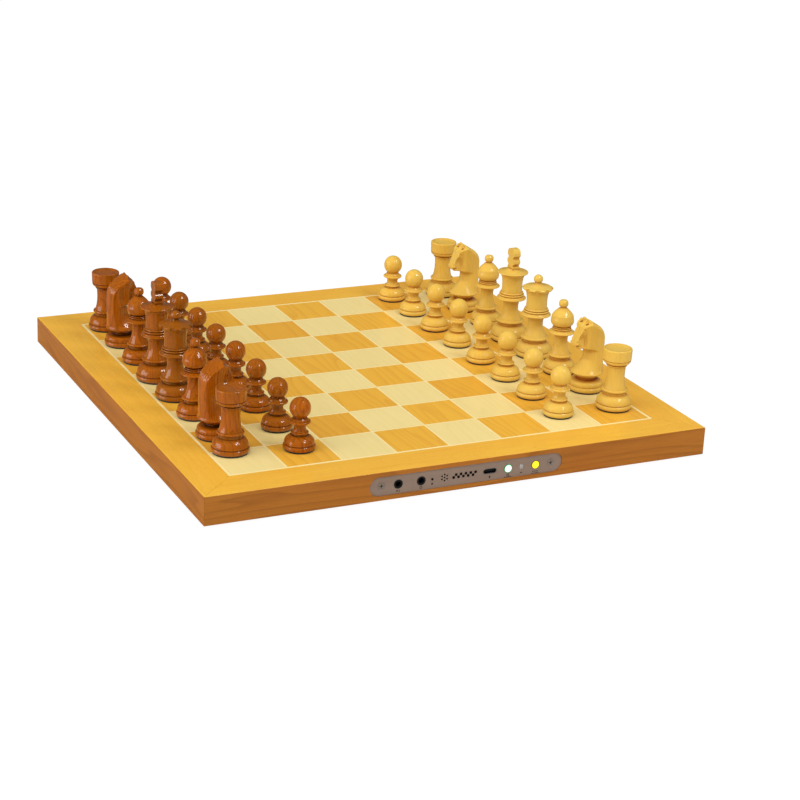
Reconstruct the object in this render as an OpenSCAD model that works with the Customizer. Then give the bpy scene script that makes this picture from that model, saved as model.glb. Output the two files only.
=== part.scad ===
// Electronic chess computer: a slim wooden sensor board with a metal control
// plate in its front edge, and the 32 men that stand on it.
// Millimetres, +Z up. Origin: centre of the board, on the plane its feet rest on.
// The front rail faces -Y, the dark men stand at -X and the light men at +X.

/* [Board] */
// Side of the square board
board_w = 330; // [326:1:340]
// Thickness of the board without its feet
board_h = 18; // [18:0.5:22]
// Centre-to-centre distance of the squares
square_pitch = 35; // [34:0.5:35]
// Width of the pale lines between and around the squares
line_w = 1.2; // [0.8:0.1:1.6]
// Thickness of the squares and lines
veneer_t = 0.6; // [0.5:0.1:0.8]
// Thickness of the panel under the squares
top_t = 2.4; // [2:0.1:3]
// Thickness of the panel that closes the board from below
base_t = 3; // [2.5:0.5:3]
// Radius that breaks the outer edges of the rails
arris = 0.6; // [0.3:0.1:1]
// Height of the rubber feet
foot_h = 1.5; // [1:0.5:3]
// Radius of the rubber feet
foot_r = 8; // [5:0.5:10]

/* [Control plate] */
// Length of the round-ended metal plate
plate_l = 127; // [124:1:130]
// Height of the plate
plate_w = 12; // [11.5:0.5:12]
// Thickness of the plate
plate_t = 1.2; // [1:0.1:1.5]
// How far the plate's face lies behind the face of the rail
plate_recess = 0.5; // [0.4:0.1:0.8]
// Radius of the button caps
button_r = 2.7; // [2:0.1:2.8]
// How far a button can be pressed
button_travel = 0.5; // [0.2:0.1:0.5]
// Radius of the bore of the audio sockets, for a 3.5 mm plug
jack_bore_r = 1.8; // [1.76:0.01:1.85]

/* [Men] */
// Thickness of the felt under each man
felt_t = 0.8; // [0.5:0.1:1.2]
// Radius of the base of a pawn; the other men are scaled from it
pawn_r = 9.9; // [9:0.1:10.5]
// How far the back ranks stand out from the centres of their squares
rank_step = 5; // [0:0.5:5]
// How far all men stand towards the back edge from the centres of their squares
side_step = 6.5; // [0:0.5:6.5]
// How much further that way the dark rook of file a stands
rook_step = 9; // [0:0.5:9]
// Thickness of the knights between their flat flanks
knight_t = 12.4; // [11:0.1:13]

/* [Hidden] */
$fn = 64;
eps = 0.01;
// Glue line or running room that keeps neighbouring solids apart
gap = 0.05;
// Air under the felt, so that a man at rest doesn't touch the squares
stand_gap = 0.1;
// Largest angle between neighbouring points of a turned curve
arc_step = 12;

files = 8;
half = board_w / 2;
field = files * square_pitch;
// Visible width of a rail beside the outermost line
rail_top_w = (board_w - field) / 2 - line_w;
// Ledge that carries the top panel
ledge = 4;
rail_w = rail_top_w + ledge;
// Overlap of the base panel and the rails
base_lap = 15;
inner = half - rail_w;

z_bottom = foot_h;
z_top = foot_h + board_h;
z_panel = z_top - veneer_t - top_t;
pcb_t = 1.6;

// Electronics sit on one line at mid-height of the front edge
axis_z = foot_h + board_h / 2;
plate_y = -half + plate_recess;
plate_back = plate_y + plate_t;
window_l = 99;
window_h = 9.2;
groove = 2;
cpcb_z = axis_z - window_h / 2 + gap;
cpcb_top = cpcb_z + pcb_t;
cpcb_front = plate_back + 1.8;
cpcb_depth = 46;

// Places along the plate, measured from its centre
screw_x = 56;
jack_x = [-45.2, -30.4];
reset_x = -23.2;
speaker_x = -15.2;
usb_x = 14.8;
power_x = 27;
status_x = 36;
mode_x = 45.5;

jack_body = [6, 14.5, 5.7];
jack_collar_r = 2.8;
jack_depth = 14.3;
reset_r = 0.8;
status_r = 1.5;
speaker_r = 4.3;
speaker_t = 3.4;
speaker_ring = 1.9;
speaker_hole_r = 0.55;
usb = [8.94, 3.26];
usb_l = 7.3;
usb_wall = 0.3;
switch_y = plate_back + 4.2;
switch_size = [5.6, 4, 4.6];
reset_switch_w = 4.6;

screw_l = 10;
screw_r = 1.2;
screw_head_r = 2.3;
screw_head_h = 1.3;
screw_room = 0.15;
base_screw_pos = 100;

well_r = 4.5;
spcb_w = 2 * inner - 3;
spcb_z = z_panel - gap - pcb_t;
led = [3.2, 2.8, 1.2];
hall = [3, 1.5, 1.1];
battery = [70, 50, 6];
battery_y = 40;

// Top of the band round every man's foot
band_top = felt_t + 3.2;
// Turned blank that the knights are sawn from, and the thickness of their faces
blank_r = 10;
blank_z = 12.6;
face_t = 9.6;

squares = [0:files - 1];
file_names = "abcdefgh";
back_rank = ["rook", "knight", "bishop", "queen", "king", "bishop", "knight", "rook"];

// Every man: name, kind, army, x and y of its axis
MEN = [
    for (army = ["dark", "light"], rank = [0, 1], f = squares)
        let (
            kind = rank == 0 ? back_rank[f] : "pawn",
            dark = army == "dark",
            out = (field - square_pitch) / 2 + (rank == 0 ? rank_step : -square_pitch),
            x = dark ? -out : out,
            y = square_at(f) + side_step + (dark && rank == 0 && f == 0 ? rook_step : 0)
        )
        [str(army, "_", kind, "_", file_names[f]), kind, army, x, y]
];

BOARD_NODES = [
    "front_rail", "back_rail", "left_rail", "right_rail",
    "top_panel", "light_squares", "dark_squares", "pale_lines",
    "base_panel", "wood_screws", "rubber_feet",
    "control_plate", "power_button", "mode_button", "reset_button",
    "switch_bodies", "usb_shell", "usb_tongue", "audio_sockets", "status_lens",
    "control_pcb", "control_chips", "speaker",
    "sensor_pcb", "square_sensors", "square_leds", "battery", "cables"
];

// ---------------------------------------------------------------- helpers

// Distance of square i from the board's centre line
function square_at(i) = (i - (files - 1) / 2) * square_pitch;

// Points of an oval arc from angle a to angle b
function oval(c, rx, rz, a, b) =
    let (n = max(2, ceil(abs(b - a) / arc_step)))
    [for (i = [0:n]) let (t = a + (b - a) * i / n) c + [rx * cos(t), rz * sin(t)]];

function arc(c, r, a, b) = oval(c, r, r, a, b);

// Points of a smooth bend from p to q, pulled towards c
function bend(p, c, q, n = 8) =
    [for (i = [0:n]) let (t = i / n) (1 - t) * (1 - t) * p + 2 * t * (1 - t) * c + t * t * q];

module along_y(x, y, z = axis_z) translate([x, y, z]) rotate([-90, 0, 0]) children();

module pill(l, w) {
    square([l - w, w], center = true);
    for (s = [-1, 1]) translate([s * (l - w) / 2, 0]) circle(d = w);
}

// A box on the x and y of its centre and the z of its underside
module block(size, at) translate(at - [size[0] / 2, size[1] / 2, 0]) cube(size);

// ------------------------------------------------------------------ frame

// Cross-section of a rail: x from the outer face inwards, y from the underside
module rail_section() {
    polygon(concat(
        arc([arris, arris], arris, 270, 180),
        arc([arris, board_h - arris], arris, 180, 90),
        [
            [rail_top_w, board_h], [rail_top_w, board_h - veneer_t - top_t],
            [rail_w, board_h - veneer_t - top_t], [rail_w, base_t],
            [rail_w - base_lap, base_t], [rail_w - base_lap, 0]
        ]
    ));
}

// Plan of the front rail with its mitred ends
module mitre() {
    tip = half - gap;
    polygon([[-tip, -half], [tip, -half], [tip - 2 * rail_w, -half + 2 * rail_w],
             [-tip + 2 * rail_w, -half + 2 * rail_w]]);
}

module plain_rail() {
    intersection() {
        translate([-half, -half, foot_h]) rotate([90, 0, 90])
            linear_extrude(board_w) rail_section();
        linear_extrude(z_top + 1) mitre();
    }
}

module base_screw_places() {
    for (s = [-1, 1])
        translate([s * base_screw_pos, -inner - base_lap / 2, z_bottom]) children();
}

module pilot_hole(l) cylinder(r = screw_r + screw_room, h = l);

// Clearance hole with a seat for a countersunk head, through a piece of thickness t
module screw_seat(t) {
    translate([0, 0, -1]) cylinder(r = screw_r + screw_room, h = t + 2);
    cylinder(r1 = screw_head_r + screw_room, r2 = screw_r + screw_room, h = screw_head_h);
    translate([0, 0, -1]) cylinder(r = screw_head_r + screw_room, h = 1 + eps);
}

module side_rail() {
    difference() {
        plain_rail();
        base_screw_places() pilot_hole(screw_l + 1);
    }
}

module front_rail() color("peru") {
    difference() {
        side_rail();
        along_y(0, -half - 1) linear_extrude(plate_recess + plate_t + 1 + gap)
            pill(plate_l + 2 * gap, plate_w + 2 * gap);
        block([window_l, 2 * rail_w + 10, window_h], [0, -half, axis_z - window_h / 2]);
        block([window_l + 2 * groove, 2 * rail_w + 10, pcb_t + 2 * gap],
              [0, -half, cpcb_z - gap]);
        for (s = [-1, 1]) along_y(s * screw_x, plate_y) pilot_hole(screw_l + 1);
    }
}

module right_rail() color("peru") rotate(90) side_rail();
module back_rail() color("peru") rotate(180) side_rail();
module left_rail() color("peru") rotate(270) side_rail();

// ---------------------------------------------------------- playing surface

module top_panel() color("tan") {
    side = field + 2 * line_w - 2 * gap;
    difference() {
        block([side, side, top_t - gap], [0, 0, z_panel + gap]);
        for (i = squares, j = squares)
            translate([square_at(i), square_at(j), z_panel - 1])
                cylinder(r = well_r, h = top_t + 2);
    }
}

// Squares whose file and rank numbers add up to an odd or an even sum
module half_the_squares(odd) {
    side = square_pitch - line_w;
    for (i = squares, j = squares)
        if ((i + j) % 2 == odd)
            block([side, side, veneer_t], [square_at(i), square_at(j), z_top - veneer_t]);
}

module light_squares() color("wheat") half_the_squares(0);
module dark_squares() color("goldenrod") half_the_squares(1);

// Seven long lines one way, short ones between them the other way, and a mitred border
module pale_lines() color("cornsilk") {
    z = z_top - veneer_t;
    strip = line_w - 2 * gap;
    short = square_pitch - line_w;
    edge = field / 2 + line_w - gap;
    for (i = [1:files - 1]) {
        u = square_at(i) - square_pitch / 2;
        block([field - line_w, strip, veneer_t], [0, u, z]);
        for (j = squares) block([strip, short, veneer_t], [u, square_at(j), z]);
    }
    for (side = [0:3]) rotate(90 * side)
        translate([0, 0, z]) linear_extrude(veneer_t) border_line(edge);
}

module border_line(edge) {
    w = 1.5 * line_w - 2 * gap;
    tip = edge - gap;
    polygon([[-tip, -edge], [tip, -edge], [tip - w, -edge + w], [-tip + w, -edge + w]]);
}

// ------------------------------------------------------------- underside

module base_panel() color("burlywood") {
    side = 2 * (inner + base_lap) - 2 * gap;
    difference() {
        block([side, side, base_t - gap], [0, 0, z_bottom]);
        for (turn = [0:3]) rotate(90 * turn) base_screw_places() screw_seat(base_t);
    }
}

// Countersunk cross-head screw: head at the origin, point towards +Z
module wood_screw() {
    difference() {
        union() {
            cylinder(r1 = screw_head_r, r2 = screw_r, h = screw_head_h);
            cylinder(r = screw_r, h = screw_l - 2);
            translate([0, 0, screw_l - 2]) cylinder(r1 = screw_r, r2 = 0.2, h = 2);
        }
        for (turn = [0, 90]) rotate(turn)
            block([2.6, 0.6, 1], [0, 0, -eps]);
    }
}

module wood_screws() color("silver") {
    for (turn = [0:3]) rotate(90 * turn) base_screw_places()
        translate([0, 0, gap]) wood_screw();
    for (s = [-1, 1]) along_y(s * screw_x, plate_y + gap) wood_screw();
}

module rubber_feet() color("dimgray") {
    place = inner - foot_r / 2;
    for (x = [-place, place], y = [-place, place])
        translate([x, y, 0]) cylinder(r = foot_r, h = foot_h);
}

// ------------------------------------------------------------ control plate

module control_plate() color("darkgray") {
    difference() {
        along_y(0, plate_y) linear_extrude(plate_t) pill(plate_l, plate_w);
        for (x = jack_x) plate_hole(x, jack_collar_r + gap);
        plate_hole(reset_x, reset_r);
        for (turn = [0:60:300])
            plate_hole(speaker_x + speaker_ring * sin(turn), speaker_hole_r,
                       axis_z + speaker_ring * cos(turn));
        plate_hole(speaker_x, speaker_hole_r);
        along_y(usb_x, plate_y - 1) linear_extrude(plate_t + 2)
            pill(usb[0] + 2 * gap, usb[1] + 2 * gap);
        for (x = [power_x, mode_x]) plate_hole(x, button_r + gap);
        plate_hole(status_x, status_r + gap);
        for (s = [-1, 1]) along_y(s * screw_x, plate_y) screw_seat(plate_t);
    }
}

module plate_hole(x, r, z = axis_z) along_y(x, plate_y - 1, z) cylinder(r = r, h = plate_t + 2);

// A cap with a slightly domed face, a retaining flange and a stem to its switch
module button_cap() {
    face = 0.4;
    flange_y = plate_t + gap;
    rotate_extrude() polygon(concat(
        [[0, -face]],
        bend([button_r - 1, -face], [button_r, -face], [button_r, -face + 0.6], 4),
        [
            [button_r, flange_y], [button_r + 0.6, flange_y],
            [button_r + 0.6, flange_y + 0.7], [1, flange_y + 0.7],
            [1, switch_y - plate_y - button_travel - gap],
            [0, switch_y - plate_y - button_travel - gap]
        ]
    ));
}

module power_button() color("mediumseagreen") along_y(power_x, plate_y) button_cap();
module mode_button() color("gold") along_y(mode_x, plate_y) button_cap();

// Plunger behind the pinhole, pressed with a pin
module reset_button() color("ivory")
    along_y(reset_x, plate_back + 1.6)
        cylinder(r = 0.6, h = switch_y - plate_back - 1.6 - button_travel - gap);

module switch_bodies() color("black") {
    for (x = [power_x, mode_x])
        block(switch_size, [x, switch_y + switch_size[1] / 2, cpcb_top + gap]);
    block([reset_switch_w, switch_size[1], switch_size[2]],
          [reset_x, switch_y + switch_size[1] / 2, cpcb_top + gap]);
}

// USB-C receptacle: a pressed metal sleeve on four legs
module usb_shell() color("gainsboro") {
    along_y(usb_x, plate_y + 0.1) linear_extrude(usb_l) difference() {
        pill(usb[0], usb[1]);
        pill(usb[0] - 2 * usb_wall, usb[1] - 2 * usb_wall);
    }
    leg_h = axis_z - usb[1] / 2 + usb_wall / 2 - cpcb_top - gap;
    for (x = [-2.4, 2.4], y = [3.6, 6.4])
        block([1, usb_wall, leg_h], [usb_x + x, plate_y + y, cpcb_top + gap]);
}

// Contact blade in the middle of the receptacle, on the block that closes its back
module usb_tongue() color("black") {
    back = 1.6;
    block([6.6, usb_l - 0.9, 0.7], [usb_x, plate_y + 0.9 + (usb_l - 0.9) / 2, axis_z - 0.35]);
    along_y(usb_x, plate_y + 0.1 + usb_l - back) linear_extrude(back)
        pill(usb[0] - 2 * usb_wall - 2 * gap, usb[1] - 2 * usb_wall - 2 * gap);
}

// Two 3.5 mm sockets: collar through the plate, body on the control board
module audio_sockets() color("black") for (x = jack_x) {
    difference() {
        union() {
            along_y(x, plate_y - 0.1) cylinder(r = jack_collar_r, h = plate_t + 1);
            block(jack_body, [x, plate_back + gap + jack_body[1] / 2, cpcb_top + gap]);
        }
        along_y(x, plate_y - 1) cylinder(r = jack_bore_r, h = jack_depth + 1);
    }
}

module status_lens() color("whitesmoke") along_y(status_x, plate_y) rotate_extrude()
    polygon(concat([[0, 3]], [[status_r, 3]], bend([status_r, 0.1], [status_r, -0.35], [0, -0.35], 5)));

// --------------------------------------------------------------- electronics

module control_pcb() color("darkgreen") {
    w = window_l + 2 * groove - 4 * gap;
    difference() {
        block([w, cpcb_depth, pcb_t - gap], [0, cpcb_front + cpcb_depth / 2, cpcb_z]);
        block([2 * speaker_r + 1, 2 * speaker_t + 2, 2 * pcb_t],
              [speaker_x, cpcb_front, cpcb_z - pcb_t / 2]);
    }
}

// Processor, radio module and audio amplifier
module control_chips() color("#222222") {
    block([10, 10, 1.4], [-6, cpcb_front + 32, cpcb_top]);
    block([12, 9, 2.2], [34, cpcb_front + 34, cpcb_top]);
    block([5, 5, 1], [-20, cpcb_front + 24, cpcb_top]);
}

// Basket with a shallow cone facing the holes in the plate, and its magnet
module speaker() color("slategray") {
    along_y(speaker_x, plate_back + 0.3) {
        rotate_extrude() polygon([
            [0, 0.9], [1.4, 0.9], [speaker_r - 0.9, 0.3], [speaker_r - 0.6, 0],
            [speaker_r, 0], [speaker_r, 1.6], [0, 1.6]
        ]);
        translate([0, 0, 1.6 + gap]) cylinder(r = speaker_r - 1.1, h = speaker_t - 1.6);
    }
}

module sensor_pcb() color("darkgreen")
    block([spcb_w, spcb_w, pcb_t], [0, 0, spcb_z]);

module on_every_square(dy) {
    for (i = squares, j = squares)
        translate([square_at(i), square_at(j) + dy, spcb_z + pcb_t]) children();
}

module square_sensors() color("#222222") on_every_square(-2) block(hall, [0, 0, 0]);
module square_leds() color("white") on_every_square(1.6) block(led, [0, 0, 0]);

module battery() color("silver") difference() {
    block(battery, [0, battery_y, z_bottom + base_t + 0.5]);
    for (s = [-1, 1]) block([1, battery[1] + 1, 1],
        [s * battery[0] / 2, battery_y, z_bottom + base_t + 0.5 - eps]);
}

// Flat cable from the control board up to the sensor board, and the battery's two wires
module cables() color("silver") {
    y0 = cpcb_front + cpcb_depth - 8;
    z0 = cpcb_top + gap;
    z1 = spcb_z - gap;
    t = 0.4;
    translate([-8, 0, 0]) rotate([90, 0, 90]) linear_extrude(16) polygon([
        [y0, z0], [y0 + 14, z0], [y0 + 20, z1 - t], [y0 + 32, z1 - t],
        [y0 + 32, z1], [y0 + 20 - t, z1], [y0 + 14 - t, z0 + t], [y0, z0 + t]
    ]);
    wire_end = battery_y - battery[1] / 2 - gap;
    for (x = [22, 25]) along_y(x, cpcb_front + cpcb_depth - 6, cpcb_top + 0.8)
        cylinder(r = 0.6, h = wire_end - (cpcb_front + cpcb_depth - 6));
}

// ------------------------------------------------------------------ the men
// Profiles run from the axis at the underside, round the outside, to the axis at the top.

// Rounded band round the foot and the groove above it, up to height band_top
function foot_band(r) = concat(
    [[0, felt_t], [r - 1.1, felt_t]],
    oval([r - 1.1, felt_t + 1.5], 1.1, 1.5, -80, 60),
    [[r - 1, band_top]]
);

// Foot band, bell-shaped bulge and cove, up to radius neck_r at height neck_z
function foot_profile(r, neck_r, neck_z, cove = 1.8) = concat(
    foot_band(r),
    bend([r - 0.6, band_top + 0.4], [r - 0.9, (band_top + neck_z - cove) / 2 + 1.2], [neck_r, neck_z - cove]),
    [[neck_r, neck_z]]
);

// Bead standing out to radius r at height z
function bead(r, z, t = 0.8) = arc([r - t, z], t, -90, 90);

// Disc with a lip of thickness 2 t and a sloping top: up to radius r_in at height z_in
function collar(r, z, r_in, z_in, t = 0.5) = concat(
    arc([r - t, z], t, -90, 60),
    bend([r - t - 0.4, z + t + 0.2], [r_in + 0.8, z_in - 0.6], [r_in, z_in], 4)
);

function pawn_profile(r = pawn_r) = concat(
    foot_profile(r, 4.6, 10.2, 0.8),
    bead(5.4, 10.8, 0.6),
    bend([4.5, 11.5], [3, 13.6], [4.4, 16.5]),
    collar(6.5, 17.5, 3.9, 20.2, 0.8),
    oval([0, 25.8], 6.4, 6.7, -52, 90)
);

function rook_profile(r = 1.17 * pawn_r) = concat(
    foot_profile(r, 7.1, 11.8),
    bead(8.3, 12.6),
    bend([7.1, 13.6], [5, 19], [5.9, 28.4]),
    bead(6.7, 29.1, 0.5),
    [[6.3, 29.8]],
    bend([7.6, 30.3], [8.6, 30.9], [8.8, 31.8], 3),
    [[8.9, 32.3], [8.6, 32.6], [9, 33], [9.2, 38.9]],
    arc([8.5, 39.3], 0.7, 0, 120),
    bend([7.8, 39.5], [6.9, 38.9], [0, 38.9], 5)
);

function bishop_profile(r = 1.12 * pawn_r) = concat(
    foot_profile(r, 6.2, 11.4),
    bead(7.7, 12.2),
    bend([6.4, 13.2], [3.2, 19.5], [4.8, 26.8]),
    collar(8.6, 27.9, 5.9, 29.8),
    bead(6.4, 30.4, 0.5),
    bead(6, 31.5, 0.5),
    bend([5.1, 32], [8.6, 33.6], [7.3, 37.9]),
    bend([7, 39.6], [5, 42.6], [1.9, 44.8]),
    [[1.9, 45.4]],
    bend([2.6, 45.5], [3.4, 46.6], [2.9, 48.6], 4),
    [[2.2, 49.5], [0, 50]]
);

// Stem, collars, straight cup and overhanging brim that king and queen share
function royal_profile(r, rise) = concat(
    foot_profile(r, 7.6, 12.2 + rise),
    bead(9.3, 13 + rise),
    bend([7.8, 14.1 + rise], [3.5, 20.6 + rise], [5.9, 28 + rise]),
    collar(10, 29.1 + rise, 8.1, 30.9 + rise),
    bead(8.6, 31.6 + rise, 0.6),
    bead(8, 32.9 + rise, 0.6),
    bend([7.1, 33.7 + rise], [6.6, 40 + rise], [7.5, 43.8 + rise]),
    bend([7.7, 44.4 + rise], [8.2, 46.3 + rise], [10, 46.7 + rise], 5),
    arc([9.8, 47.3 + rise], 0.6, -50, 90)
);

function queen_profile(r = 1.27 * pawn_r) = concat(
    royal_profile(r, 0),
    bend([9, 48.4], [5.4, 48.6], [2.3, 50.5]),
    arc([0, 53.4], 3.1, -48, 90)
);

function king_profile(r = 1.33 * pawn_r) = concat(
    royal_profile(r, 0.8),
    bend([9, 48.6], [5, 49.2], [3.4, 50.8], 4),
    [[0, 51]]
);

// Foot, waist and the collar that flares into the sawn flanks of the horse
function knight_profile(r = 1.17 * pawn_r) = concat(
    foot_band(r),
    bend([r - 0.8, band_top + 0.4], [r - 0.6, 6.8], [r - 3, 7.3]),
    [[5.6, 8.2], [5.6, 8.8]],
    bend([6.4, 9.4], [8.4, 10.4], [8.8, 11.8]),
    [[blank_r + 0.2, 12.2]],
    arc([blank_r + 0.2, 12.6], 0.4, -80, 80),
    bend([blank_r - 0.4, 13.2], [7, 14], [knight_t / 2, 19]),
    [[0, 19]]
);

// The turned wood, its steel slug in a pocket and the felt that covers it
module turned_man(profile, slug_r) {
    slug_h = 6;
    base_r = max([for (p = profile) p[0]]);
    difference() {
        union() {
            rotate_extrude() polygon(profile);
            children(0);
        }
        translate([0, 0, felt_t - 1]) cylinder(r = slug_r + gap, h = slug_h + 1 + gap);
        if ($children > 1) children(1);
    }
    translate([0, 0, felt_t + gap]) cylinder(r = slug_r, h = slug_h - gap);
    cylinder(r = base_r - 0.8, h = felt_t - gap);
}

module pawn() turned_man(pawn_profile(), 4.5) union() {}

module rook() turned_man(rook_profile(), 6) union() {}

module bishop() turned_man(bishop_profile(), 5.5) union() {}

module queen() turned_man(queen_profile(), 7) {
    union() {}
    // scallops round the coronet
    scallops = 9;
    for (i = [0:scallops - 1]) rotate(i * 360 / scallops)
        translate([10.7, 0, 45]) rotate([0, 14, 0]) cylinder(r = 2.1, h = 8);
}

// Cross with spreading arms, flat towards the opponent
module king() turned_man(king_profile(), 7.5) rotate([90, 0, 90])
    linear_extrude(5, center = true) polygon([
        for (s = [1, -1])
            for (p = s == 1 ? cross_side() : reverse(cross_side())) [s * p[0], p[1]]
    ]);

function cross_side() = concat(
    [[3.6, 50], [3.9, 51.8]],
    bend([3.7, 52.4], [2, 53.3], [4, 54.2], 4),
    [[4.5, 54.8], [4.5, 56.6]],
    bend([4.1, 57.2], [2, 58.4], [4.1, 59.6], 4),
    bend([4.6, 60.2], [4.8, 64.2], [2, 64.6], 4)
);

function reverse(list) = [for (i = [len(list) - 1:-1:0]) list[i]];

// Knight: x is forward and z up. Its body is a turned blank with sawn flanks.

// Half-section of the blank's side and domed top, set in by s
function blank_side(s = 0) = concat(
    [[blank_r - s, blank_z]],
    bend([blank_r - s, 38.4], [blank_r - s, 41.4 - s], [7.6 - s, 43.4 - s]),
    [[1.4, 47.8 - s], [0, 48.2 - s]]
);

// Flank: straight back, poll, round cheek, throat and chest
function neck_outline() = concat(
    [[-blank_r - 1, blank_z], [-blank_r - 1, 51], [3, 51], [4.6, 45.8]],
    bend([5, 44.8], [8.8, 39], [7.2, 33.4]),
    bend([6.7, 31.4], [5.6, 29.6], [3, 29.4], 5),
    bend([2.8, 27.8], [6.8, 20.6], [blank_r + 1, blank_z])
);

// Face in front of the cheek, a little thinner than the neck
function face_outline() = concat(
    [[2, 47], [4.6, 46], [6.8, 44.4]],
    bend([8, 41.4], [9, 38.2], [11.2, 34.6], 4),
    bend([11.9, 33.6], [12.6, 31.8], [11.8, 30.6], 4),
    [[9.6, 31.4], [11, 30]],
    bend([10.8, 29.2], [8, 28.6], [5, 29], 4),
    [[3, 38]]
);

module slab(t, outline) rotate([90, 0, 0]) linear_extrude(t, center = true) polygon(outline);

module knight_head() {
    intersection() {
        slab(knight_t, neck_outline());
        rotate_extrude() polygon(concat([[0, blank_z]], blank_side()));
    }
    slab(face_t, face_outline());
    // ears
    for (s = [-1, 1]) translate([0, s * 3.3, 0])
        slab(2.6, [[-1.6, 45.6], [3.2, 49.2], [5.2, 46], [4.2, 44]]);
    // eyes
    for (s = [-1, 1]) translate([6, s * (face_t / 2 - 0.4), 41.6]) sphere(r = 1.2);
}

module knight_cuts() {
    // grooves that part the mane
    for (y = [-2.6, 0, 2.6]) translate([0, y, 0]) slab(0.6, concat(
        [[-blank_r - 1, blank_z + 2], [-blank_r - 1, 51], [1, 51], [1, 46]],
        [for (p = reverse(blank_side(0.7))) if (p[1] > blank_z) [-p[0], p[1]]],
        [[-blank_r + 0.7, blank_z + 2]]
    ));
    // nostrils
    for (s = [-1, 1]) translate([10.4, s * face_t / 2, 32.8]) sphere(r = 0.8);
}

module knight() turned_man(knight_profile(), 5.2) {
    knight_head();
    knight_cuts();
}

module man(m) {
    army_colour = m[2] == "dark" ? "sienna" : "khaki";
    translate([m[3], m[4], z_top + stand_gap]) color(army_colour) {
        if (m[1] == "pawn") pawn();
        if (m[1] == "rook") rook();
        if (m[1] == "bishop") bishop();
        if (m[1] == "queen") queen();
        if (m[1] == "king") king();
        if (m[1] == "knight") rotate(m[2] == "dark" ? 0 : 180) knight();
    }
}

// ------------------------------------------------------------------ drawing

front_rail();
back_rail();
left_rail();
right_rail();
top_panel();
light_squares();
dark_squares();
pale_lines();
base_panel();
wood_screws();
rubber_feet();
control_plate();
power_button();
mode_button();
reset_button();
switch_bodies();
usb_shell();
usb_tongue();
audio_sockets();
status_lens();
control_pcb();
control_chips();
speaker();
sensor_pcb();
square_sensors();
square_leds();
battery();
cables();
for (m = MEN) man(m);
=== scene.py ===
"""Electronic chess computer: a slim wooden sensor board, its control plate and its 32 turned men.

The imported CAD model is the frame. This script gives each of its nodes a procedural material, carves the four
knights from their CAD blanks, prints the small signs on the control plate, and sets floor, light and camera.
"""

import math
import random

import bmesh
import bpy
import numpy as np
from mathutils import Matrix, Vector


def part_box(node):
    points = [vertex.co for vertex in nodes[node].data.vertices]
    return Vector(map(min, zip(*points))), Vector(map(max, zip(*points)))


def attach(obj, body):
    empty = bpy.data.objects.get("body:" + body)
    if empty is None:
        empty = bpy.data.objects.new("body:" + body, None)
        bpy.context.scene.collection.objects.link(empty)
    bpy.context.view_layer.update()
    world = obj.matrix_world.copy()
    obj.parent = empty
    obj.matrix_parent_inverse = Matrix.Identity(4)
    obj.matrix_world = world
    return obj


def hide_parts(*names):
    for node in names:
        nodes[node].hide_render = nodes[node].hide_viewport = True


MM = 0.001
# Start of the random draws that give each man its place in the wood and its hue
SEED = 7

# Knights, in millimetres above the square: grid of the carving, and top of the turned foot that is kept
CARVING = 0.25
COLLAR = 13.0
# Angle in degrees from which an edge of a knight is shaded sharp
CREASE = 35
# Height in millimetres below which a man is felt
FELT = 0.79
# How far the wood of a kind of man may lie from red-brown towards yellow-brown
HUES = {"king": (0.3, 0.5), "queen": (0.5, 0.7), "pawn": (0.0, 0.5)}
OTHER_HUES = (0.0, 0.4)

# Control plate, in millimetres: width of a socket with its collar, and place of the ornament
SOCKET_COLLAR = 6.0
ORNAMENT = -2.0

# Strength of the white world as fill light and in reflections
FILL = 0.4
SHEEN = 0.08
# Camera: focal length, azimuth and elevation and roll in degrees, distance in metres, aim in millimetres
LENS = 93.1
VIEW = (-26.31, 20.56)
ROLL = 2.8
DISTANCE = 1.3037
AIM = (4.4, -61.0, 0)

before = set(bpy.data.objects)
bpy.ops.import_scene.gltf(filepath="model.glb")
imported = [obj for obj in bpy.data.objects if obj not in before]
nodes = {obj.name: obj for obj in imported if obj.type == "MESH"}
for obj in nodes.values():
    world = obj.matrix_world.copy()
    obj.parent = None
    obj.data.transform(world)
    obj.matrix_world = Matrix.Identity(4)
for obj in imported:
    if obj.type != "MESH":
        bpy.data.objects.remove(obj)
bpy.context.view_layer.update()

RAILS = {"front_rail": "X", "back_rail": "X", "left_rail": "Y", "right_rail": "Y"}
MEN = sorted(n for n in nodes if n.split("_")[0] in ("dark", "light") and n.count("_") == 2)
CENTRE = Vector((0, 0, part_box("light_squares")[1].z))


# ---------------------------------------------------------------- material tools


def add(tree, kind, inputs=None, **settings):
    """One shader node. An input is a value, or another node's output socket."""
    made = tree.nodes.new("ShaderNode" + kind)
    for key, value in settings.items():
        setattr(made, key, value)
    for key, value in (inputs or {}).items():
        if isinstance(value, bpy.types.NodeSocket):
            tree.links.new(value, made.inputs[key])
        else:
            made.inputs[key].default_value = value
    return made


def maths(tree, operation, a, b=0.0, c=0.0):
    """One Math node's result."""
    return add(tree, "Math", {0: a, 1: b, 2: c}, operation=operation).outputs[0]


def mix(tree, share, a, b, blend_type="MIX"):
    """Two colours mixed by share."""
    inputs = {0: share, 6: a, 7: b}
    return add(tree, "Mix", inputs, data_type="RGBA", blend_type=blend_type).outputs[2]


def blend_range(tree, value, low, high, to_low=0.0, to_high=1.0):
    """A value between low and high turned into one between to_low and to_high."""
    return add(tree, "MapRange", {0: value, 1: low, 2: high, 3: to_low, 4: to_high}).outputs[0]


def rgb(red, green, blue):
    """A linear colour from the 0 to 255 values that a screen shows."""
    channels = [c / 255 for c in (red, green, blue)]
    return tuple(c / 12.92 if c <= 0.04045 else ((c + 0.055) / 1.055) ** 2.4 for c in channels) + (1,)


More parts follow.
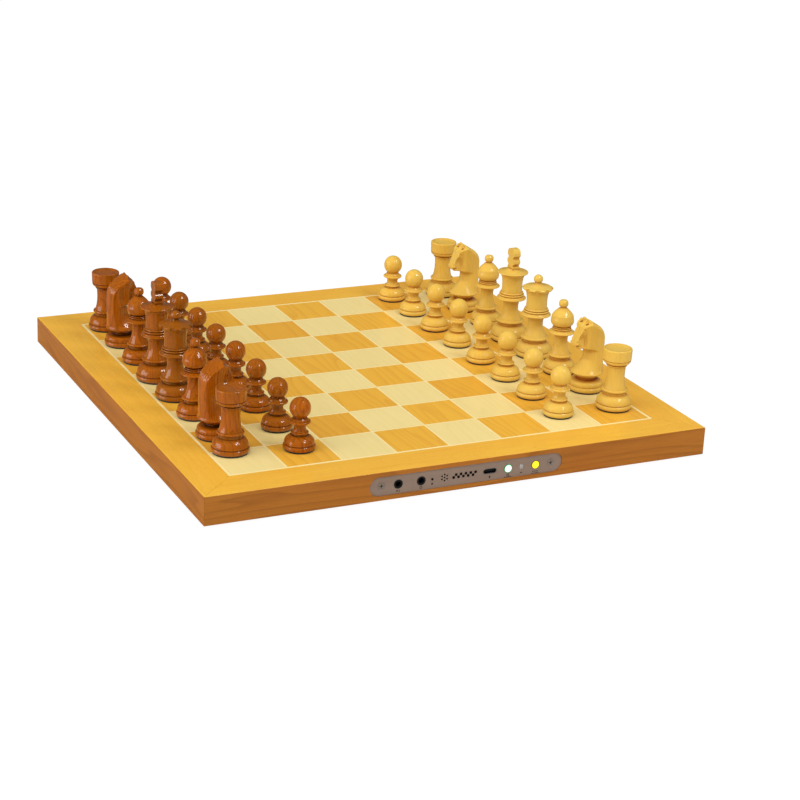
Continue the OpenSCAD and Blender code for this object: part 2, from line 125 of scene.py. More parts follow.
def material(name):
    """A new material, its node tree, its Principled shader and its object coordinates in millimetres."""
    made = bpy.data.materials.new(name)
    made.use_nodes = True
    tree = made.node_tree
    place = add(tree, "TexCoord").outputs["Object"]
    millimetres = add(tree, "VectorMath", {0: place, "Scale": 1 / MM}, operation="SCALE").outputs[0]
    return made, tree, tree.nodes["Principled BSDF"], millimetres


def connect(tree, shader, **inputs):
    """Sets or links the Principled shader's inputs; underscores in a name stand for spaces."""
    for key, value in inputs.items():
        socket = shader.inputs[key.replace("_", " ")]
        if isinstance(value, bpy.types.NodeSocket):
            tree.links.new(value, socket)
        else:
            socket.default_value = value


def bump(tree, shader, height, depth):
    """Bump from a height of 0 to 1, depth in millimetres."""
    made = add(tree, "Bump", {"Strength": 1.0, "Distance": depth * MM, "Height": height})
    tree.links.new(made.outputs[0], shader.inputs["Normal"])


def streaks(tree, place, along, length, width, detail=3.0, rough=0.55):
    """Noise whose marks run along one axis; sizes in millimetres."""
    scale = [1 / width] * 3
    scale["XYZ".index(along)] = 1 / length
    vector = add(tree, "Mapping", {"Vector": place, "Scale": scale}).outputs[0]
    inputs = {"Vector": vector, "Scale": 1.0, "Detail": detail, "Roughness": rough}
    return add(tree, "TexNoise", inputs).outputs[0]


def rings(tree, distance, width):
    """Growth rings across a distance: pale early wood that darkens slowly, then ends in a sharp line."""
    share = maths(tree, "FRACT", maths(tree, "DIVIDE", distance, width))
    rise = maths(tree, "POWER", share, 3.0)
    fall = blend_range(tree, share, 0.93, 1.0, 1.0, 0.0)
    return maths(tree, "MULTIPLY", rise, fall)


# ---------------------------------------------------------------- woods


def board_grain(tree, place, along, ring, warp):
    """Growth rings, fibre and pores of a board whose grain runs along one axis, each from 0 to 1."""
    wander = streaks(tree, place, along, 150, 18, detail=1.5)
    axes = add(tree, "SeparateXYZ", {0: place}).outputs
    across = maths(tree, "ADD", axes["Y" if along == "X" else "X"], axes["Z"])
    distance = maths(tree, "MULTIPLY_ADD", wander, warp, across)
    fibres = streaks(tree, place, along, 24, 0.45, detail=4, rough=0.7)
    pores = blend_range(tree, streaks(tree, place, along, 2.6, 0.2, detail=1), 0.64, 0.74)
    return rings(tree, distance, ring), fibres, pores


def lacquer(tree, shader, colour, fibres, pores, rough=0.34, coat=0.2):
    """The finish of a lacquered wood: satin coat over a base that is duller and lower in its pores."""
    dull = maths(tree, "MULTIPLY_ADD", fibres, 0.16, rough - 0.08)
    height = maths(tree, "MULTIPLY_ADD", pores, -0.7, fibres)
    connect(tree, shader, Base_Color=colour, Roughness=dull, Coat_Weight=coat, Coat_Roughness=0.16)
    connect(tree, shader, Specular_IOR_Level=0.25)
    bump(tree, shader, height, 0.012)


def rail_wood(along):
    """Rail: golden on top, browner with a stronger figure on its sides, grain along the rail; the golden top
    is painted light and the browner sides are painted shade.
    """
    made, tree, shader, place = material("rail_wood_" + along.lower())
    ring, fibres, pores = board_grain(tree, place, along, 7.0, 40.0)
    cloud = streaks(tree, place, along, 70, 22, detail=2)
    # painted light and painted shade: the top's colours are lighter, and the sides' colours darker and
    # browner, than the one wood of the rail
    top = mix(tree, fibres, rgb(228, 168, 50), rgb(244, 194, 74))
    top = mix(tree, maths(tree, "MULTIPLY", ring, 0.16), top, rgb(205, 136, 38))
    side = mix(tree, fibres, rgb(150, 86, 14), rgb(188, 118, 30))
    side = mix(tree, maths(tree, "MULTIPLY", ring, 0.42), side, rgb(112, 58, 8))
    upward = add(tree, "SeparateXYZ", {0: add(tree, "TexCoord").outputs["Normal"]}).outputs["Z"]
    height = add(tree, "SeparateXYZ", {0: place}).outputs["Z"]
    rail_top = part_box("front_rail")[1].z / MM
    upper = maths(tree, "GREATER_THAN", height, rail_top - 2.5)
    # mask of the painted light: faces that look up near the rail's top take the lighter top colours
    painted_lit_top = maths(tree, "MULTIPLY", blend_range(tree, upward, 0.5, 0.95), upper)
    colour = mix(tree, painted_lit_top, side, top)
    colour = mix(tree, blend_range(tree, cloud, 0.3, 0.7, 0.0, 0.14), colour, rgb(236, 170, 90), "MULTIPLY")
    colour = mix(tree, maths(tree, "MULTIPLY", pores, 0.35), colour, rgb(120, 66, 26))
    lacquer(tree, shader, colour, fibres, pores)
    return made


def square_wood(name, pale, deep, line, figure, spread):
    """Veneer squares: grain away from the player, and each square cut from another place in the leaf."""
    made, tree, shader, place = material(name)
    low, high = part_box("light_squares")
    cell = round((high.x - low.x) / 8 / MM)
    cells = add(tree, "VectorMath", {0: place, 1: (cell,) * 3}, operation="DIVIDE").outputs[0]
    index = add(tree, "VectorMath", {0: cells}, operation="FLOOR").outputs[0]
    chance = add(tree, "TexWhiteNoise", {0: index}, noise_dimensions="3D")
    leaf = add(tree, "VectorMath", {0: chance.outputs["Color"], "Scale": 400.0}, operation="SCALE").outputs[0]
    cut = add(tree, "VectorMath", {0: place, 1: leaf}, operation="ADD").outputs[0]
    ring, fibres, pores = board_grain(tree, cut, "Y", 7.0, 40.0)
    colour = mix(tree, fibres, deep, pale)
    colour = mix(tree, maths(tree, "MULTIPLY", ring, figure), colour, line)
    colour = mix(tree, maths(tree, "MULTIPLY", chance.outputs["Value"], spread), colour, line, "MULTIPLY")
    colour = mix(tree, maths(tree, "MULTIPLY", pores, 0.3 * figure + 0.08), colour, line)
    lacquer(tree, shader, colour, fibres, pores, rough=0.36)
    return made


def line_wood():
    """Inlaid lines: plain pale maple."""
    made, tree, shader, place = material("line_wood")
    fibres = streaks(tree, place, "X", 8, 0.4, detail=3)
    colour = mix(tree, fibres, rgb(240, 214, 140), rgb(250, 232, 172))
    lacquer(tree, shader, colour, fibres, 0.0, rough=0.36)
    return made


def panel_wood():
    """Top and base panels: plywood with a plain light face, and its plies on the edges."""
    made, tree, shader, place = material("panel_wood")
    ring, fibres, pores = board_grain(tree, place, "Y", 14.0, 90.0)
    colour = mix(tree, fibres, rgb(196, 158, 104), rgb(222, 188, 136))
    colour = mix(tree, maths(tree, "MULTIPLY", ring, 0.5), colour, rgb(160, 116, 70))
    colour = mix(tree, maths(tree, "MULTIPLY", pores, 0.5), colour, rgb(110, 76, 44))
    connect(tree, shader, Base_Color=colour, Roughness=0.62)
    bump(tree, shader, fibres, 0.03)
    return made


def turned_wood(name, pale, deep, line, other, ring_share, painted_recess_shade, rough, coat):
    """Turned wood: rings round an axis beside the man, upright fibre, a hue of each man's own, and painted
    shade in its recesses.
    """
    made, tree, shader, place = material(name)
    shift = add(tree, "Attribute", attribute_type="OBJECT", attribute_name="grain").outputs["Vector"]
    tint = add(tree, "Attribute", attribute_type="OBJECT", attribute_name="tint").outputs["Fac"]
    blank = add(tree, "VectorMath", {0: place, 1: shift}, operation="ADD").outputs[0]
    flat = add(tree, "VectorMath", {0: blank, 1: (1, 1, 0.1)}, operation="MULTIPLY").outputs[0]
    radius = add(tree, "VectorMath", {0: flat}, operation="LENGTH").outputs["Value"]
    wander = streaks(tree, blank, "Z", 34, 7, detail=2)
    ring = rings(tree, maths(tree, "MULTIPLY_ADD", wander, 7.0, radius), 1.5)
    fibres = streaks(tree, blank, "Z", 9, 0.35, detail=4, rough=0.7)
    pores = blend_range(tree, streaks(tree, blank, "Z", 1.8, 0.16, detail=1), 0.63, 0.74)
    cloud = streaks(tree, blank, "Z", 20, 6, detail=2)
    colour = mix(tree, fibres, deep, pale)
    colour = mix(tree, maths(tree, "MULTIPLY", ring, ring_share), colour, line)
    colour = mix(tree, blend_range(tree, cloud, 0.35, 0.7, 0.0, 0.35), colour, other)
    colour = mix(tree, tint, colour, other)
    colour = mix(tree, maths(tree, "MULTIPLY", pores, ring_share), colour, line)
    # painted shade: where ambient occlusion finds a recess, the wood is darkened towards the growth-line
    # colour
    open_air = add(tree, "AmbientOcclusion", {"Distance": 4 * MM}, samples=6, only_local=True).outputs["AO"]
    colour = mix(tree, blend_range(tree, open_air, 0.35, 0.95, painted_recess_shade, 0.0), colour, line, "MULTIPLY")
    height = maths(tree, "MULTIPLY_ADD", pores, -0.6, fibres)
    dull = maths(tree, "MULTIPLY_ADD", fibres, 0.12, rough - 0.06)
    connect(tree, shader, Base_Color=colour, Roughness=dull, Coat_Weight=coat, Coat_Roughness=0.06)
    connect(tree, shader, Specular_IOR_Level=0.1)
    bump(tree, shader, height, 0.01)
    return made


# ---------------------------------------------------------------- other materials


def felt():
    """Felt under the men: black, with short fibres in every direction."""
    made, tree, shader, place = material("foot_felt")
    hair = streaks(tree, place, "X", 0.8, 0.12, detail=3)
    cross = streaks(tree, place, "Y", 0.8, 0.12, detail=3)
    fuzz = maths(tree, "MAXIMUM", hair, cross)
    colour = mix(tree, fuzz, rgb(16, 18, 16), rgb(52, 54, 48))
    connect(tree, shader, Base_Color=colour, Roughness=0.95, Sheen_Weight=0.4)
    bump(tree, shader, fuzz, 0.08)
    return made


def moulded(name, colour, rough):
    """Moulded plastic or rubber with a fine grain."""
    made, tree, shader, place = material(name)
    grain = streaks(tree, place, "X", 0.25, 0.25, detail=3)
    shade = tuple(c * 0.94 for c in colour[:3]) + (1,)
    connect(tree, shader, Base_Color=mix(tree, grain, shade, colour))
    connect(tree, shader, Roughness=blend_range(tree, grain, 0.3, 0.7, rough - 0.06, rough + 0.06))
    bump(tree, shader, grain, 0.01)
    return made


def brushed_metal(name, pale, deep, along, rough, metallic=1.0, edge=None):
    """Metal brushed along one axis; an edge colour, used as painted shade, is for all that does not face the
    front or the back.
    """
    made, tree, shader, place = material(name)
    brush = streaks(tree, place, along, 12, 0.06, detail=4, rough=0.7)
    cloud = streaks(tree, place, along, 40, 5, detail=2)
    share = maths(tree, "MULTIPLY_ADD", cloud, 0.5, maths(tree, "MULTIPLY", brush, 0.5))
    colour = mix(tree, share, deep, pale)
    # painted shade: faces that turn away from front and back take the dark edge colour
    if edge:
        normal = add(tree, "TexCoord").outputs["Normal"]
        facing = maths(tree, "ABSOLUTE", add(tree, "SeparateXYZ", {0: normal}).outputs["Y"])
        colour = mix(tree, blend_range(tree, facing, 0.3, 0.7), edge, colour)
    connect(tree, shader, Base_Color=colour, Metallic=metallic)
    connect(tree, shader, Roughness=blend_range(tree, brush, 0.3, 0.7, rough - 0.08, rough + 0.08))
    bump(tree, shader, brush, 0.004)
    return made


def painted_glow_cap(name, node, core, ring, rim, glow):
    """Button cap: a bright core that fades to a coloured ring and a darker rim; the core and ring glow as
    painted light.
    """
    made, tree, shader, place = material(name)
    low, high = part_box(node)
    centre = (low + high) / 2 / MM
    radius = (high.x - low.x) / 2 / MM
    from_axis = add(tree, "VectorMath", {0: place, 1: centre}, operation="SUBTRACT").outputs[0]
    flat = add(tree, "VectorMath", {0: from_axis, 1: (1, 0, 1)}, operation="MULTIPLY").outputs[0]
    distance = add(tree, "VectorMath", {0: flat}, operation="LENGTH").outputs["Value"]
    grain = streaks(tree, place, "X", 0.4, 0.4, detail=2)
    reach = maths(tree, "DIVIDE", maths(tree, "MULTIPLY_ADD", grain, 0.15, distance), radius)
    inner = mix(tree, blend_range(tree, reach, 0.45, 0.65), core, ring)
    edge = blend_range(tree, reach, 0.66, 0.8)
    colour = mix(tree, edge, inner, rim)
    # painted light: the cap glows, strongest in the core and faint at the rim
    painted_glow = blend_range(tree, edge, 0.0, 1.0, glow, 0.05)
    connect(tree, shader, Base_Color=colour, Emission_Color=colour, Emission_Strength=painted_glow, Roughness=0.3)
    bump(tree, shader, grain, 0.01)
    return made


def clear_lens():
    """Clear cover of the status light."""
    made, tree, shader, place = material("clear_lens")
    grain = streaks(tree, place, "X", 0.6, 0.6, detail=2)
    connect(tree, shader, Base_Color=mix(tree, grain, rgb(196, 190, 182), rgb(230, 226, 220)))
    connect(tree, shader, Roughness=0.12, Transmission_Weight=0.5, Coat_Weight=0.5)
    bump(tree, shader, grain, 0.004)
    return made


def circuit_board():
    """Green solder mask with tracks under it."""
    made, tree, shader, place = material("circuit_board")
    tracks = add(tree, "TexBrick", {"Vector": place, "Scale": 0.35, "Mortar Size": 0.06})
    speck = streaks(tree, place, "X", 1.5, 1.5, detail=2)
    colour = mix(tree, tracks.outputs["Fac"], rgb(16, 84, 46), rgb(40, 128, 74))
    colour = mix(tree, maths(tree, "MULTIPLY", speck, 0.25), colour, rgb(10, 60, 34))
    connect(tree, shader, Base_Color=colour, Roughness=0.3, Coat_Weight=0.4)
    bump(tree, shader, tracks.outputs["Fac"], 0.03)
    return made


def battery_foil():
    """Creased silver foil of the battery pouch."""
    made, tree, shader, place = material("battery_foil")
    crease = add(tree, "TexVoronoi", {"Vector": place, "Scale": 0.12}, feature="DISTANCE_TO_EDGE").outputs[0]
    grain = streaks(tree, place, "X", 3, 3, detail=4)
    height = maths(tree, "MULTIPLY_ADD", grain, 0.5, crease)
    connect(tree, shader, Base_Color=mix(tree, grain, rgb(150, 152, 156), rgb(206, 208, 212)))
    connect(tree, shader, Metallic=1.0, Roughness=0.32)
    bump(tree, shader, height, 0.25)
    return made


# ---------------------------------------------------------------- carved knights


def skin(field, low, step):
    """Vertices and quads of the surface where a sampled field crosses zero, by surface nets."""
    inside = field < 0
    size = np.array(field.shape) - 1
    corners = [np.array(c) for c in np.ndindex(2, 2, 2)]

    def at(values, corner):
        return values[tuple(slice(c, c + n) for c, n in zip(corner, size))]

    filled = sum(at(inside, c).astype(int) for c in corners)
    cells = np.argwhere((filled > 0) & (filled < 8))
    number = np.full(size, -1)
    number[tuple(cells.T)] = np.arange(len(cells))
    total = np.zeros((len(cells), 3))
    count = np.zeros((len(cells), 1))
    for start in corners:
        for axis in range(3):
            if start[axis]:
                continue
            end = start + np.eye(3, dtype=int)[axis]
            a = at(field, start)[tuple(cells.T)]
            b = at(field, end)[tuple(cells.T)]
            crossed = (a < 0) != (b < 0)
            share = np.where(crossed, a / np.where(crossed, a - b, 1), 0)
            total += crossed[:, None] * (start + share[:, None] * (end - start))
            count += crossed[:, None]
    points = low + (cells + total / count) * step
    faces = []
    for axis in range(3):
        first, second = (axis + 1) % 3, (axis + 2) % 3
        here = np.moveaxis(inside, axis, 0)
        changed = np.moveaxis(here[1:] != here[:-1], 0, axis)
        starts = np.argwhere(changed)
        starts = starts[(starts[:, first] > 0) & (starts[:, second] > 0)]
        starts = starts[(starts[:, first] < size[first]) & (starts[:, second] < size[second])]
        ring = []
        for back_first, back_second in ((0, 0), (1, 0), (1, 1), (0, 1)):
            cell = starts.copy()
            cell[:, first] -= back_first
            cell[:, second] -= back_second
            ring.append(number[tuple(cell.T)])
        quads = np.stack(ring, axis=1)
        outward = inside[tuple(starts.T)]
        quads[~outward] = quads[~outward][:, ::-1]
        faces.append(quads)
    return points, np.concatenate(faces)


def meet(a, b, blend):
    """The part common to two fields, its edge rounded over a blend in millimetres."""
    near = np.maximum(blend - np.abs(a - b), 0) / blend
    return np.maximum(a, b) + near * near * blend / 4


def join(a, b, blend):
    """Two fields joined, with a hollow fillet over a blend in millimetres."""
    return -meet(-a, -b, blend)


def slope(x, y, start, end):
    """Signed distance from the line through two points of a plane, below zero on its right-hand side."""
    (x0, y0), (x1, y1) = start, end
    length = math.hypot(x1 - x0, y1 - y0)
    return ((y - y0) * (x1 - x0) - (x - x0) * (y1 - y0)) / length


def ball(f, s, u, centre, radius):
    """Signed distance from a ball."""
    return np.sqrt((f - centre[0]) ** 2 + (s - centre[1]) ** 2 + (u - centre[2]) ** 2) - radius


def spike(f, s, u, base, tip, thick, thin):
    """Signed distance from a round-ended spike between two points."""
    base, tip = np.array(base), np.array(tip)
    way = tip - base
    share = ((f - base[0]) * way[0] + (s - base[1]) * way[1] + (u - base[2]) * way[2]) / (way @ way)
    share = np.clip(share, 0, 1)
    axis = [base[i] + share * way[i] for i in range(3)]
    away = np.sqrt((f - axis[0]) ** 2 + (s - axis[1]) ** 2 + (u - axis[2]) ** 2)
    return away - (thick + (thin - thick) * share)


def bell(value, centre, width):
    """A smooth hump of height 1."""
    return np.exp(-(((value - centre) / width) ** 2))


def knight_field(f, s, u):
    """The knight above its collar, as a signed distance; f forward, s sideways, u above the square."""
    s = np.abs(s)
    r = np.hypot(f, s)

    # turned blank with flat, slightly hollow flanks; fine ridges along the crest are the mane
    mane = np.clip((u - 37.6) / 2.4, 0, 1) * np.clip((1.5 - f) / 2, 0, 1)
    mane = mane * (0.5 - 0.5 * np.cos(math.tau * s / 1.75)) ** 2
    crest = slope(f, u, (-10, 40.6), (-1.0, 46.1)) + 0.018 * s * s
    blank = meet(r - 10, crest, 5.0) + 0.34 * mane
    flank = s - 6.1 - (u - 29) ** 2 / 125

    # neck: its front is a narrow ridge that flares below, and its sides run together towards it
    flare = 7 * np.clip((29.5 - u) / 16.5, 0, 1.2) ** 3
    ridge = f - 3.2 - flare
    pinch = (s - 2.1 - 0.62 * (3.2 + flare - f)) * 0.85 - 3 * np.clip((u - 27) / 3, 0, 1)
    neck = meet(meet(meet(blank, flank, 0.3), ridge, 0.9), pinch, 1.2)

    # head: a flat face from ears to nose, a jaw, and sides that are hollow between cheek and nose
    face = slope(f, u, (5.6, 47.0), (11.4, 33.6))
    nose = np.where((f > 8.9) & (u < 33.5), np.hypot(f - 8.9, u - 32.6) - 3.2, -1)
    jaw = slope(f, u, (14, 30.2), (0, 28.6))
    brow = slope(f, u, (0.5, 47.6), (7.2, 44.4))
    half = 6.05 + (u - 29) ** 2 / 125 - 0.5 * np.clip(f - 2.4, 0, 4.4)
    half = half + 0.5 * bell(f, 10.6, 1.7) * bell(u, 32.8, 2.2)
    half = half - 1.3 * bell(f, 7.6, 2.6) * bell(u, 36.4, 3.2)
    half = half - 1.3 * bell(f, 4.9, 1.0) * bell(u, 34.0, 4.4)
    head = meet(meet(face, (s - half) * 0.9, 0.4), meet(jaw, brow, 0.5), 0.6)
    head = meet(meet(head, nose, 0.5), crest + 0.2, 0.5)
    head = meet(head, -1 - f, 0.5)
    body = join(neck, head, 0.4)

    # ears and forelock, eyes, nostrils and mouth
    ears = spike(f, s, u, (1.6, 3.3, 44.8), (2.6, 3.5, 47.6), 2.2, 0.8)
    ears = join(ears, spike(f, s, u, (3.6, 0, 45.9), (7.4, 0, 43.0), 1.3, 0.5), 1.0)
    body = join(body, ears, 0.8)
    body = meet(body, -spike(f, s, u, (4.4, 3.6, 45.4), (4.3, 3.6, 47.2), 1.0, 0.3), 0.3)
    body = meet(body, -ball(f, s, u, (7.4, 5.7, 41.4), 1.6), 0.5)
    body = join(body, ball(f, s, u, (6.6, 4.2, 41.4), 0.9), 0.15)
    body = meet(body, -ball(f, s, u, (11.5, 3.9, 33.9), 1.0), 0.3)
    lips = spike(f, s, u, (12.6, 3.6, 32.0), (7.6, 4.2, 31.0), 0.55, 0.4)
    lips = np.minimum(lips, spike(f, s, u, (12.2, 4, 31.9), (12.1, 0, 31.9), 0.45, 0.45))
    body = meet(body, -lips, 0.3)

    # skirt: the turned top of the collar sweeps up to the neck
    skirt = (u - 12.95 - 7.5 * np.clip((10.2 - r) / 5.4, 0, 1) ** 1.3) * 0.7
    skirt = np.maximum(skirt, r - 10.4)
    return np.maximum(join(body, skirt, 1.2), 12.5 - u)


def carve_knights():
    """Each knight keeps the turned foot of its CAD blank and gets a carved neck and head on its collar."""
    low, high = np.array([-11.2, -10.93, 12.03]), np.array([13.5, 10.93, 50.5])
    axes = [np.arange(a, b, CARVING) for a, b in zip(low, high)]
    points, quads = skin(knight_field(*np.meshgrid(*axes, indexing="ij")), low, CARVING)
    carved = {}
    for node in MEN:
        army, kind, file = node.split("_")
        if kind != "knight":
            continue
        foot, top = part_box(node)
        rook_low, rook_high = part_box(army + "_rook_a")
        axis = Vector(((rook_low.x + rook_high.x) / 2, (foot.y + top.y) / 2, foot.z))
        facing = 1 if army == "dark" else -1
        head = bpy.data.meshes.new(node + "_head")
        head.from_pydata((points * (facing, facing, 1) * MM + axis).tolist(), [], quads.tolist())
        made = bmesh.new()
        made.from_mesh(nodes[node].data)
        above = [v for v in made.verts if v.co.z > foot.z + COLLAR * MM]
        bmesh.ops.delete(made, geom=above, context="VERTS")
        made.from_mesh(head)
        for edge in made.edges:
            edge.smooth = len(edge.link_faces) == 2 and edge.calc_face_angle() < math.radians(CREASE)
        for face in made.faces:
            face.smooth = True
        mesh = bpy.data.meshes.new(node + "_carved")
        made.to_mesh(mesh)
        made.free()
        piece = bpy.data.objects.new(node + "_carved", mesh)
        bpy.context.scene.collection.objects.link(piece)
        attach(piece, node)
        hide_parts(node)
        carved[node] = piece
    return carved


# ---------------------------------------------------------------- signs on the control plate


def outline_ring(radius, width, start=0.0, end=360.0, steps=24):
    """A flat ring, or a part of one, as a list of four-cornered patches of (x, z) points."""
    turns = [math.radians(start + (end - start) * i / steps) for i in range(steps + 1)]
    inner, outer = radius - width / 2, radius + width / 2
    return [[(inner * math.cos(a), inner * math.sin(a)), (outer * math.cos(a), outer * math.sin(a)),
             (outer * math.cos(b), outer * math.sin(b)), (inner * math.cos(b), inner * math.sin(b))]
            for a, b in zip(turns, turns[1:])]


def outline_bar(x, z, width, height):
    """One upright rectangle around a point."""
    return [[(x - width / 2, z - height / 2), (x + width / 2, z - height / 2),
             (x + width / 2, z + height / 2), (x - width / 2, z + height / 2)]]


def outline_arrow(x, z, size):
    """One triangle that points up."""
    return [[(x - size / 2, z - size / 3), (x + size / 2, z - size / 3), (x, z + size / 2)]]


def chequer(columns, rows, size):
    """Alternate squares of a strip around the origin, as on a chessboard."""
    return [outline_bar((i - (columns - 1) / 2) * size, (j - (rows - 1) / 2) * size, size, size)[0]
            for i in range(columns) for j in range(rows) if (i + j) % 2 == 0]


def print_signs():
    """Generic black signs under the controls, and a chequered strip as the plate's ornament."""
    plate_low, plate_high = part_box("control_plate")
    axis = (plate_low.z + plate_high.z) / 2 / MM
    front = plate_low.y / MM
    jack_low, jack_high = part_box("audio_sockets")
    jack_radius = SOCKET_COLLAR / 2
    under = -4.2

    def centre(node):
        low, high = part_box(node)
        return (low.x + high.x) / 2 / MM

    power = outline_ring(0.75, 0.3, 120, 420) + outline_bar(0, 0.6, 0.3, 0.8) + outline_bar(0, -1.2, 5, 0.3)
    sound = outline_bar(-0.6, 0, 0.8, 0.8) + outline_ring(0.9, 0.3, -60, 60, 8)
    dots = sum([outline_bar(x, 0, 0.7, 0.7) for x in (-1.4, 0, 1.4)], outline_bar(0, -1.2, 5, 0.3))
    signs = [
        (jack_low.x / MM + jack_radius, under, sound),
        (jack_high.x / MM - jack_radius, under, outline_ring(0.7, 0.3)),
        (centre("reset_button"), -2.8, outline_arrow(0, 0, 1.6)),
        (centre("usb_shell"), under + 0.4, outline_arrow(0, 0.3, 1.5) + outline_bar(0, -0.6, 0.3, 0.8)),
        (centre("power_button"), under, power),
        (centre("status_lens"), under + 0.4, outline_bar(0, 0, 1.2, 0.6)),
        (centre("mode_button"), under, dots),
        (ORNAMENT, 0, chequer(10, 2, 1.6)),
    ]
    made = bmesh.new()
    for x, z, patches in signs:
        for patch in patches:
            corners = [made.verts.new(Vector((x + a, front - 0.02, axis + z + b)) * MM) for a, b in patch]
            made.faces.new(corners)
    bmesh.ops.solidify(made, geom=made.faces[:], thickness=0.03 * MM)
    mesh = bpy.data.meshes.new("plate_signs")
    made.to_mesh(mesh)
    made.free()
    piece = bpy.data.objects.new("plate_signs", mesh)
    bpy.context.scene.collection.objects.link(piece)
    mesh.materials.append(moulded("sign_ink", rgb(20, 19, 18), 0.5))
    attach(piece, "board")


# ---------------------------------------------------------------- finish of each node


def give(thing, *finishes):
    """The material slots of a node or piece hold these finishes, and every face starts on the first."""
    mesh = (nodes[thing] if isinstance(thing, str) else thing).data
    mesh.materials.clear()
    for finish in finishes:
        mesh.materials.append(finish)
    mesh.polygons.foreach_set("material_index", [0] * len(mesh.polygons))


def finish_board():
    """Materials of the board, its plate and its inside."""
    rail_finish = {along: rail_wood(along) for along in ("X", "Y")}
    for node, along in RAILS.items():
        give(node, rail_finish[along])
    give("light_squares", square_wood("light_square_wood", rgb(242, 222, 154), rgb(232, 208, 134),
                                      rgb(220, 190, 116), 0.18, 0.12))
    give("dark_squares", square_wood("dark_square_wood", rgb(242, 190, 70), rgb(226, 166, 48),
                                     rgb(206, 134, 40), 0.4, 0.18))
    give("pale_lines", line_wood())
    panel = panel_wood()
    give("top_panel", panel)
    give("base_panel", panel)
    give("wood_screws", brushed_metal("screw_steel", rgb(196, 178, 162), rgb(140, 124, 112), "X", 0.3, 0.6))
    give("rubber_feet", moulded("foot_rubber", rgb(34, 33, 32), 0.75))
    # the plate's sides take a near-black edge colour as painted shade in its recess
    give("control_plate", brushed_metal("plate_metal", rgb(176, 150, 132), rgb(138, 116, 100), "X",
                                        0.42, 0.35, rgb(40, 34, 30)))
    # the caps' glow is painted light
    give("power_button", painted_glow_cap("green_cap", "power_button", rgb(250, 255, 248), rgb(170, 240, 190),
                                 rgb(10, 110, 50), 0.9))
    give("mode_button", painted_glow_cap("yellow_cap", "mode_button", rgb(255, 240, 30), rgb(250, 214, 10),
                                rgb(74, 64, 20), 0.8))
    black = moulded("black_plastic", rgb(22, 22, 24), 0.4)
    for node in ("reset_button", "usb_tongue", "audio_sockets", "control_chips", "speaker",
                 "square_sensors", "switch_bodies"):
        give(node, black)
    give("usb_shell", brushed_metal("tinned_steel", rgb(214, 214, 212), rgb(160, 160, 158), "Y", 0.3))
    give("status_lens", clear_lens())
    board = circuit_board()
    give("control_pcb", board)
    give("sensor_pcb", board)
    give("square_leds", moulded("led_plastic", rgb(240, 232, 200), 0.3))
    give("battery", battery_foil())
    give("cables", moulded("cable_plastic", rgb(196, 40, 34), 0.4))


def finish_men(carved):
    """Wood and felt of the men; each man has its own place in the wood and its own hue."""
    chance = random.Random(SEED)
    cloth = felt()
    woods = {
        # the sixth value of each wood is the strength of its painted shade in recesses
        "dark": turned_wood("dark_man_wood", rgb(206, 110, 8), rgb(136, 60, 0), rgb(66, 20, 0),
                            rgb(140, 82, 12), 0.6, 1.0, 0.3, 0.9),
        "light": turned_wood("light_man_wood", rgb(232, 192, 88), rgb(216, 168, 58), rgb(196, 118, 16),
                             rgb(224, 188, 90), 0.25, 1.0, 0.42, 0.5),
    }
    for node in MEN:
        army = node.split("_")[0]
        man = carved.get(node, nodes[node])
        give(man, woods[army], cloth)
        low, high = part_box(node)
        centre = (low + high) / 2 / MM
        turn = chance.uniform(0, math.tau)
        away = chance.uniform(9, 22)
        east, north = away * math.cos(turn), away * math.sin(turn)
        man["grain"] = [east - centre.x, north - centre.y, chance.uniform(0, 400)]
        man["tint"] = chance.uniform(*HUES.get(node.split("_")[1], OTHER_HUES))
        felt_top = low.z + FELT * MM
        mesh = man.data
        heights = np.empty(len(mesh.vertices) * 3)
        mesh.vertices.foreach_get("co", heights)
        heights = heights.reshape(-1, 3)[:, 2]
        cloth_faces = [int(all(heights[v] < felt_top for v in face.vertices)) for face in mesh.polygons]
        mesh.polygons.foreach_set("material_index", cloth_faces)


# ---------------------------------------------------------------- floor, light and camera


def make_floor():
    """A plain pale floor with little shadow; from below it is clear, and it lights the board's underside."""
    mesh = bpy.data.meshes.new("floor")
    side = 6.0
    corners = [(-side, -side, 0), (side, -side, 0), (side, side, 0), (-side, side, 0)]
    mesh.from_pydata(corners, [], [(0, 1, 2, 3)])
    floor = bpy.data.objects.new("floor", mesh)
    bpy.context.scene.collection.objects.link(floor)
    made, tree, shader, place = material("floor_paint")
    reflected = add(tree, "LightPath").outputs["Is Glossy Ray"]
    paint = mix(tree, reflected, rgb(252, 252, 252), rgb(120, 118, 114))
    connect(tree, shader, Base_Color=paint, Roughness=0.8, Specular_IOR_Level=0.0)
    glow = add(tree, "Emission", {"Strength": 1.03}).outputs[0]
    seen = maths(tree, "MULTIPLY", add(tree, "LightPath").outputs["Is Camera Ray"], 0.93)
    spot = add(tree, "SeparateXYZ", {0: place}).outputs
    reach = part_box("front_rail")[1].x / MM
    covered = [maths(tree, "LESS_THAN", maths(tree, "ABSOLUTE", spot[axis]), reach) for axis in ("X", "Y")]
    covered = maths(tree, "MULTIPLY", maths(tree, "MULTIPLY", *covered), 0.8)
    share = maths(tree, "MAXIMUM", seen, covered)
    above = add(tree, "MixShader", {0: share, 1: shader.outputs[0], 2: glow}).outputs[0]
    below = add(tree, "NewGeometry").outputs["Backfacing"]
    clear = add(tree, "BsdfTransparent").outputs[0]
    shown = add(tree, "MixShader", {0: below, 1: above, 2: clear}).outputs[0]
    tree.links.new(shown, tree.nodes["Material Output"].inputs["Surface"])
    mesh.materials.append(made)


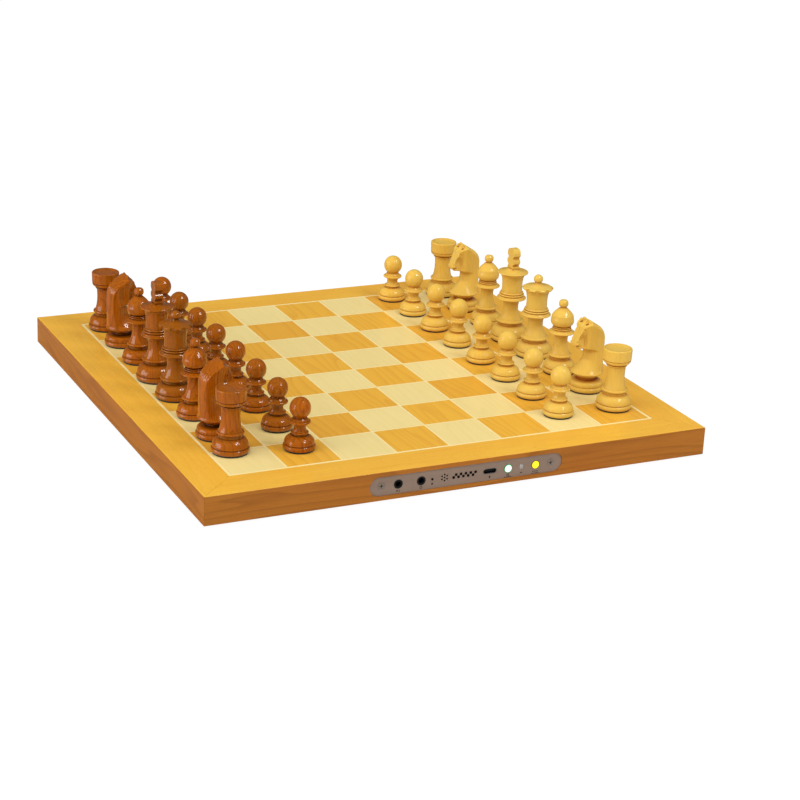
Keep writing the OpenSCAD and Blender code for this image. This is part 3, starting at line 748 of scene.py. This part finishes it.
def make_world():
    """White all round for the camera, a softer white as the fill light, and little of it in reflections."""
    world = bpy.data.worlds.new("studio")
    bpy.context.scene.world = world
    world.use_nodes = True
    tree = world.node_tree
    white = tree.nodes["Background"]
    white.inputs["Color"].default_value = (1, 1, 1, 1)
    path = add(tree, "LightPath").outputs
    strength = blend_range(tree, path["Is Glossy Ray"], 0.0, 1.0, FILL, SHEEN)
    strength = maths(tree, "MAXIMUM", strength, path["Is Camera Ray"])
    tree.links.new(strength, white.inputs["Strength"])


def softbox(name, azimuth, elevation, distance, width, height, watts):
    """A soft area light that looks at the board from an azimuth and elevation in degrees."""
    data = bpy.data.lights.new(name, "AREA")
    data.shape = "RECTANGLE"
    data.size = width
    data.size_y = height
    data.energy = watts
    lamp = bpy.data.objects.new(name, data)
    bpy.context.scene.collection.objects.link(lamp)
    way = direction(azimuth, elevation)
    lamp.location = CENTRE + way * distance
    lamp.rotation_euler = way.to_track_quat("Z", "Y").to_euler()


def skylight(azimuth, elevation, spread, strength):
    """Even soft light from high up, as from a wide ceiling of lamps; polished wood does not mirror it."""
    data = bpy.data.lights.new("skylight", "SUN")
    data.energy = strength
    data.angle = math.radians(spread)
    lamp = bpy.data.objects.new("skylight", data)
    lamp.visible_glossy = False
    bpy.context.scene.collection.objects.link(lamp)
    lamp.rotation_euler = direction(azimuth, elevation).to_track_quat("Z", "Y").to_euler()


def direction(azimuth, elevation):
    """From the object towards a viewer at this azimuth and elevation; azimuth 0 is in front of the board."""
    a, e = math.radians(azimuth), math.radians(elevation)
    return Vector((math.sin(a) * math.cos(e), -math.cos(a) * math.cos(e), math.sin(e)))


def make_camera():
    """The camera stands to the left in front of the board and looks down at it, rolled a little."""
    data = bpy.data.cameras.new("camera")
    data.lens = LENS
    data.sensor_width = 36.0
    data.clip_start = 0.01
    camera = bpy.data.objects.new("camera", data)
    bpy.context.scene.collection.objects.link(camera)
    way = direction(*VIEW)
    camera.location = CENTRE + Vector(AIM) * MM + way * DISTANCE
    turn = way.to_track_quat("Z", "Y").to_matrix().to_4x4()
    roll = Matrix.Rotation(math.radians(ROLL), 4, "Z")
    camera.matrix_world = Matrix.Translation(camera.location) @ turn @ roll
    bpy.context.scene.camera = camera


finish_board()
print_signs()
finish_men(carve_knights())
make_floor()
make_world()
skylight(-60, 56, 60, 1.75)
softbox("left_wall", -98, 14, 1.6, 1.2, 0.8, 9)
softbox("window_left", 24, 52, 1.5, 0.16, 0.4, 3.4)
softbox("window_right", 44, 52, 1.5, 0.16, 0.4, 3.4)
make_camera()
bpy.context.scene.view_settings.view_transform = "Standard"
